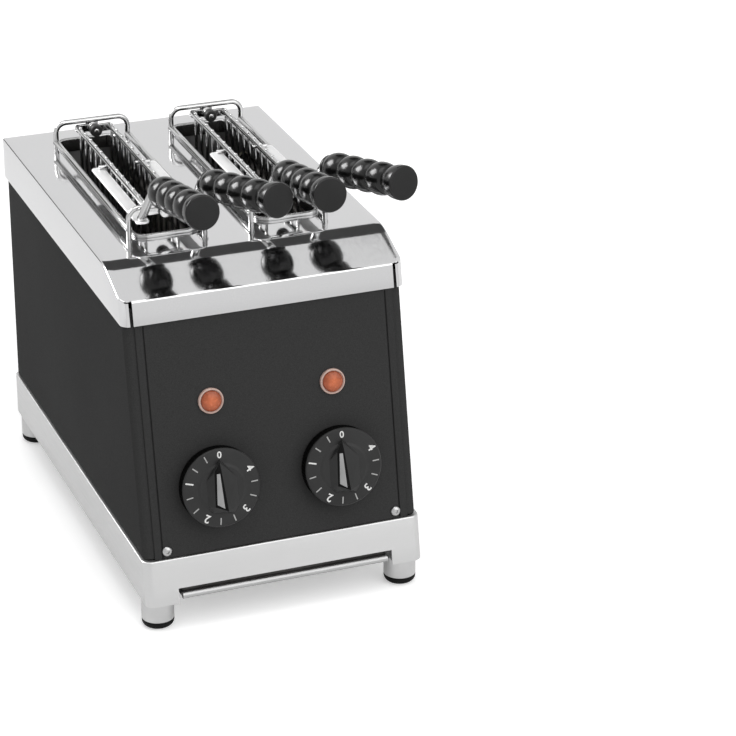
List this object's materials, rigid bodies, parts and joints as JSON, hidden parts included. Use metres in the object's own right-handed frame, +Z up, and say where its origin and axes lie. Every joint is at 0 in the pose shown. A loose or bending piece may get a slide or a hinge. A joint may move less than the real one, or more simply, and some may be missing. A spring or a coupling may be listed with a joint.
{
  "type": "two-slot tong toaster",
  "caption": "Counter-top sandwich toaster with a leaning black body, steel top and base, clockwork timer knobs, signal lamps, a crumb tray and lift-out wire tongs with beaded handles.",
  "frame": {"origin": "on the table, under the middle of the bounding box", "axes": "+Z up, +X to the right seen from the front, the front with the knobs faces -Y"},
  "size_m": [0.215, 0.3692, 0.3327],
  "materials": {
    "polished_steel": "polished stainless sheet",
    "satin_steel": "satin stainless sheet",
    "black_coat": "fine matte powder coat",
    "inner_sheet": "plain bright sheet",
    "reflector_sheet": "bright reflector sheet",
    "heater_sheath": "heat-darkened sheath",
    "ceramic": "unglazed steatite ceramic",
    "timer_case": "plain metal case",
    "knob_black": "fine satin moulding",
    "knob_inlay": "light grey inlay",
    "lamp_bezel": "pale translucent plastic",
    "lamp_lens": "orange-red lens",
    "fastener_steel": "bright plated steel",
    "foot_metal": "satin turned metal",
    "rubber": "matte rubber",
    "black_plastic": "satin moulding",
    "wire_insulation": "glass-sleeved loom",
    "tong_wire": "bright drawn wire",
    "tong_strap": "bright strap and rod",
    "grip_black": "glossy phenolic moulding"
  },
  "bodies": {
    "body": {"base_frame": "satin_steel", "tray_runners": "inner_sheet", "left_side_panel": "black_coat", "right_side_panel": "black_coat", "front_panel": "black_coat", "rear_panel": "black_coat", "top_cover": "polished_steel", "left_slot_collar": "polished_steel", "right_slot_collar": "polished_steel", "front_bulkhead": "inner_sheet", "rear_bulkhead": "inner_sheet", "left_reflector": "reflector_sheet", "centre_reflector": "reflector_sheet", "right_reflector": "reflector_sheet", "left_outer_heater": "heater_sheath", "left_inner_heater": "heater_sheath", "right_inner_heater": "heater_sheath", "right_outer_heater": "heater_sheath", "ceramic_sleeves": "ceramic", "left_timer": "timer_case", "right_timer": "timer_case", "left_lamp_bezel": "lamp_bezel", "right_lamp_bezel": "lamp_bezel", "left_lamp_lens": "lamp_lens", "right_lamp_lens": "lamp_lens", "lamp_nuts": "fastener_steel", "panel_screws": "fastener_steel", "front_left_foot": "foot_metal", "front_right_foot": "foot_metal", "rear_left_foot": "foot_metal", "rear_right_foot": "foot_metal", "foot_pads": "rubber", "cable_gland": "black_plastic", "terminal_block": "ceramic", "wiring": "wire_insulation"},
    "crumb_tray": {"crumb_tray": "satin_steel"},
    "left_knob": {"left_knob": "knob_black", "left_knob_inlay": "knob_inlay", "left_timer_shaft": "fastener_steel"},
    "right_knob": {"right_knob": "knob_black", "right_knob_inlay": "knob_inlay", "right_timer_shaft": "fastener_steel"},
    "left_tong": {"left_tong_frame": "tong_wire", "left_tong_pins": "tong_wire", "left_tong_bushes": "black_plastic"},
    "left_tong_left_jaw": {"left_tong_left_grid": "tong_wire", "left_tong_left_arm": "tong_strap", "left_tong_left_grip": "grip_black"},
    "left_tong_right_jaw": {"left_tong_right_grid": "tong_wire", "left_tong_right_arm": "tong_strap", "left_tong_right_grip": "grip_black"},
    "right_tong": {"right_tong_frame": "tong_wire", "right_tong_pins": "tong_wire", "right_tong_bushes": "black_plastic"},
    "right_tong_left_jaw": {"right_tong_left_grid": "tong_wire", "right_tong_left_arm": "tong_strap", "right_tong_left_grip": "grip_black"},
    "right_tong_right_jaw": {"right_tong_right_grid": "tong_wire", "right_tong_right_arm": "tong_strap", "right_tong_right_grip": "grip_black"}
  },
  "joints": [
    {"name": "tray_slide", "type": "slide", "parent": "body", "child": "crumb_tray", "axis": [0, -1, 0], "range_m": [0, 0.28]},
    {"name": "left_timer_turn", "type": "hinge", "parent": "body", "child": "left_knob", "pos_m": [-0.047, -0.16652, 0.105], "axis": [0, 0.982, -0.1891], "range_deg": [0, 298]},
    {"name": "right_timer_turn", "type": "hinge", "parent": "body", "child": "right_knob", "pos_m": [0.047, -0.16652, 0.105], "axis": [0, 0.982, -0.1891], "range_deg": [0, 298]},
    {"name": "left_tong_lift", "type": "slide", "parent": "body", "child": "left_tong", "axis": [0, 0, 1], "range_m": [0, 0.16]},
    {"name": "left_tong_left_jaw_swing", "type": "hinge", "parent": "left_tong", "child": "left_tong_left_jaw", "pos_m": [-0.047, 0.03675, 0.2785], "axis": [0, 1, 0], "range_deg": [0, 6], "stiffness_Nm_per_rad": 1.5},
    {"name": "left_tong_right_jaw_swing", "type": "hinge", "parent": "left_tong", "child": "left_tong_right_jaw", "pos_m": [-0.047, 0.03675, 0.2785], "axis": [0, 1, 0], "range_deg": [-6, 0], "stiffness_Nm_per_rad": 1.5},
    {"name": "right_tong_lift", "type": "slide", "parent": "body", "child": "right_tong", "axis": [0, 0, 1], "range_m": [0, 0.16]},
    {"name": "right_tong_left_jaw_swing", "type": "hinge", "parent": "right_tong", "child": "right_tong_left_jaw", "pos_m": [0.047, 0.03675, 0.2785], "axis": [0, 1, 0], "range_deg": [0, 6], "stiffness_Nm_per_rad": 1.5},
    {"name": "right_tong_right_jaw_swing", "type": "hinge", "parent": "right_tong", "child": "right_tong_right_jaw", "pos_m": [0.047, 0.03675, 0.2785], "axis": [0, 1, 0], "range_deg": [-6, 0], "stiffness_Nm_per_rad": 1.5}
  ],
  "couplings": [
    {"joint": "left_tong_right_jaw_swing", "follows": "left_tong_left_jaw_swing", "ratio": -1},
    {"joint": "right_tong_right_jaw_swing", "follows": "right_tong_left_jaw_swing", "ratio": -1}
  ]
}
